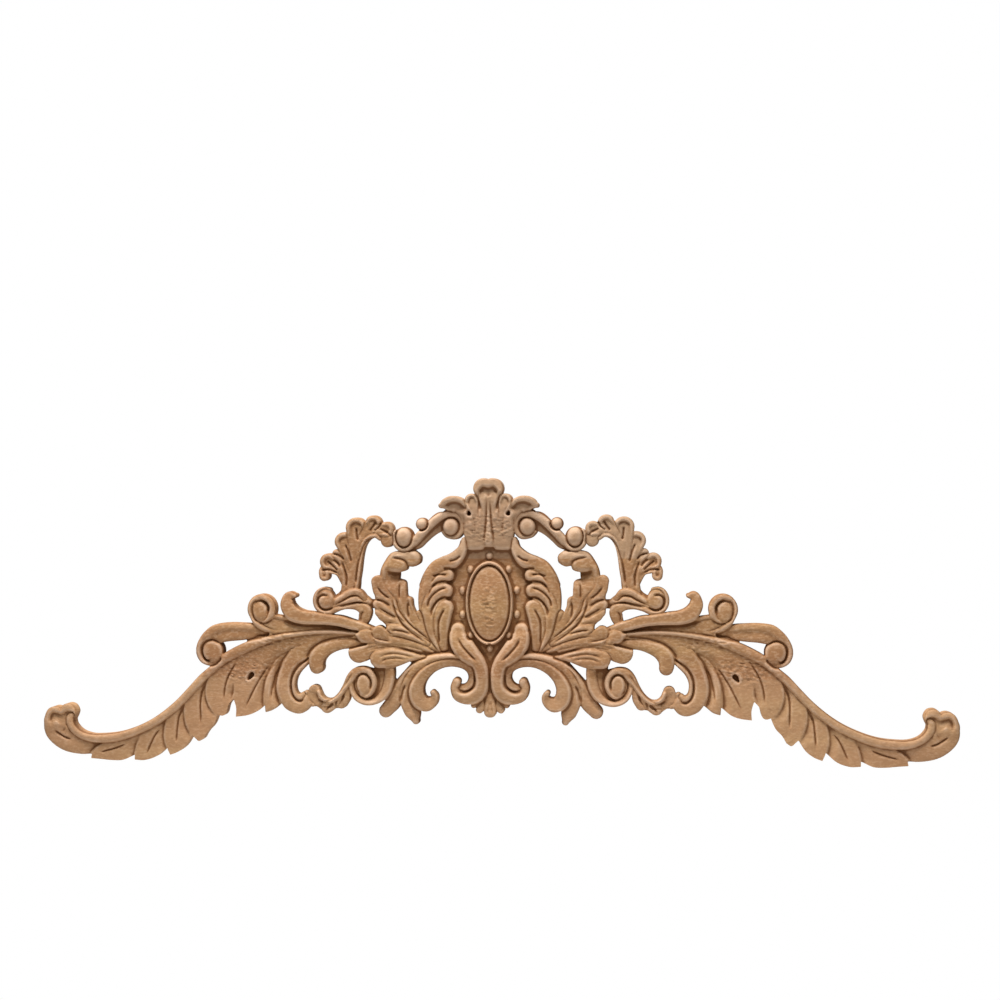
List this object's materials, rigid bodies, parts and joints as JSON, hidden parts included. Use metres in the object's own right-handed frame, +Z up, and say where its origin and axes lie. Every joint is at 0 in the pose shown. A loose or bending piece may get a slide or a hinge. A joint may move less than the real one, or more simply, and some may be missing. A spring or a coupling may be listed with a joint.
{
  "type": "carved wood applique",
  "caption": "Pierced carved wood pediment applique: oval cabochon under a crown leaf, scrolling acanthus leaves and volutes, two long feathered wings with hooked tails, flat back.",
  "frame": {"origin": "on the flat back, behind the middle of the oval cabochon", "axes": "+X along the width, +Z up, +Y out of the flat back; the carving faces -Y"},
  "size_m": [0.8004, 0.0198, 0.2488],
  "materials": {
    "wood": "bare hardwood, hand sanded, unfinished"
  },
  "bodies": {
    "root": {"applique": "wood"}
  },
  "joints": []
}
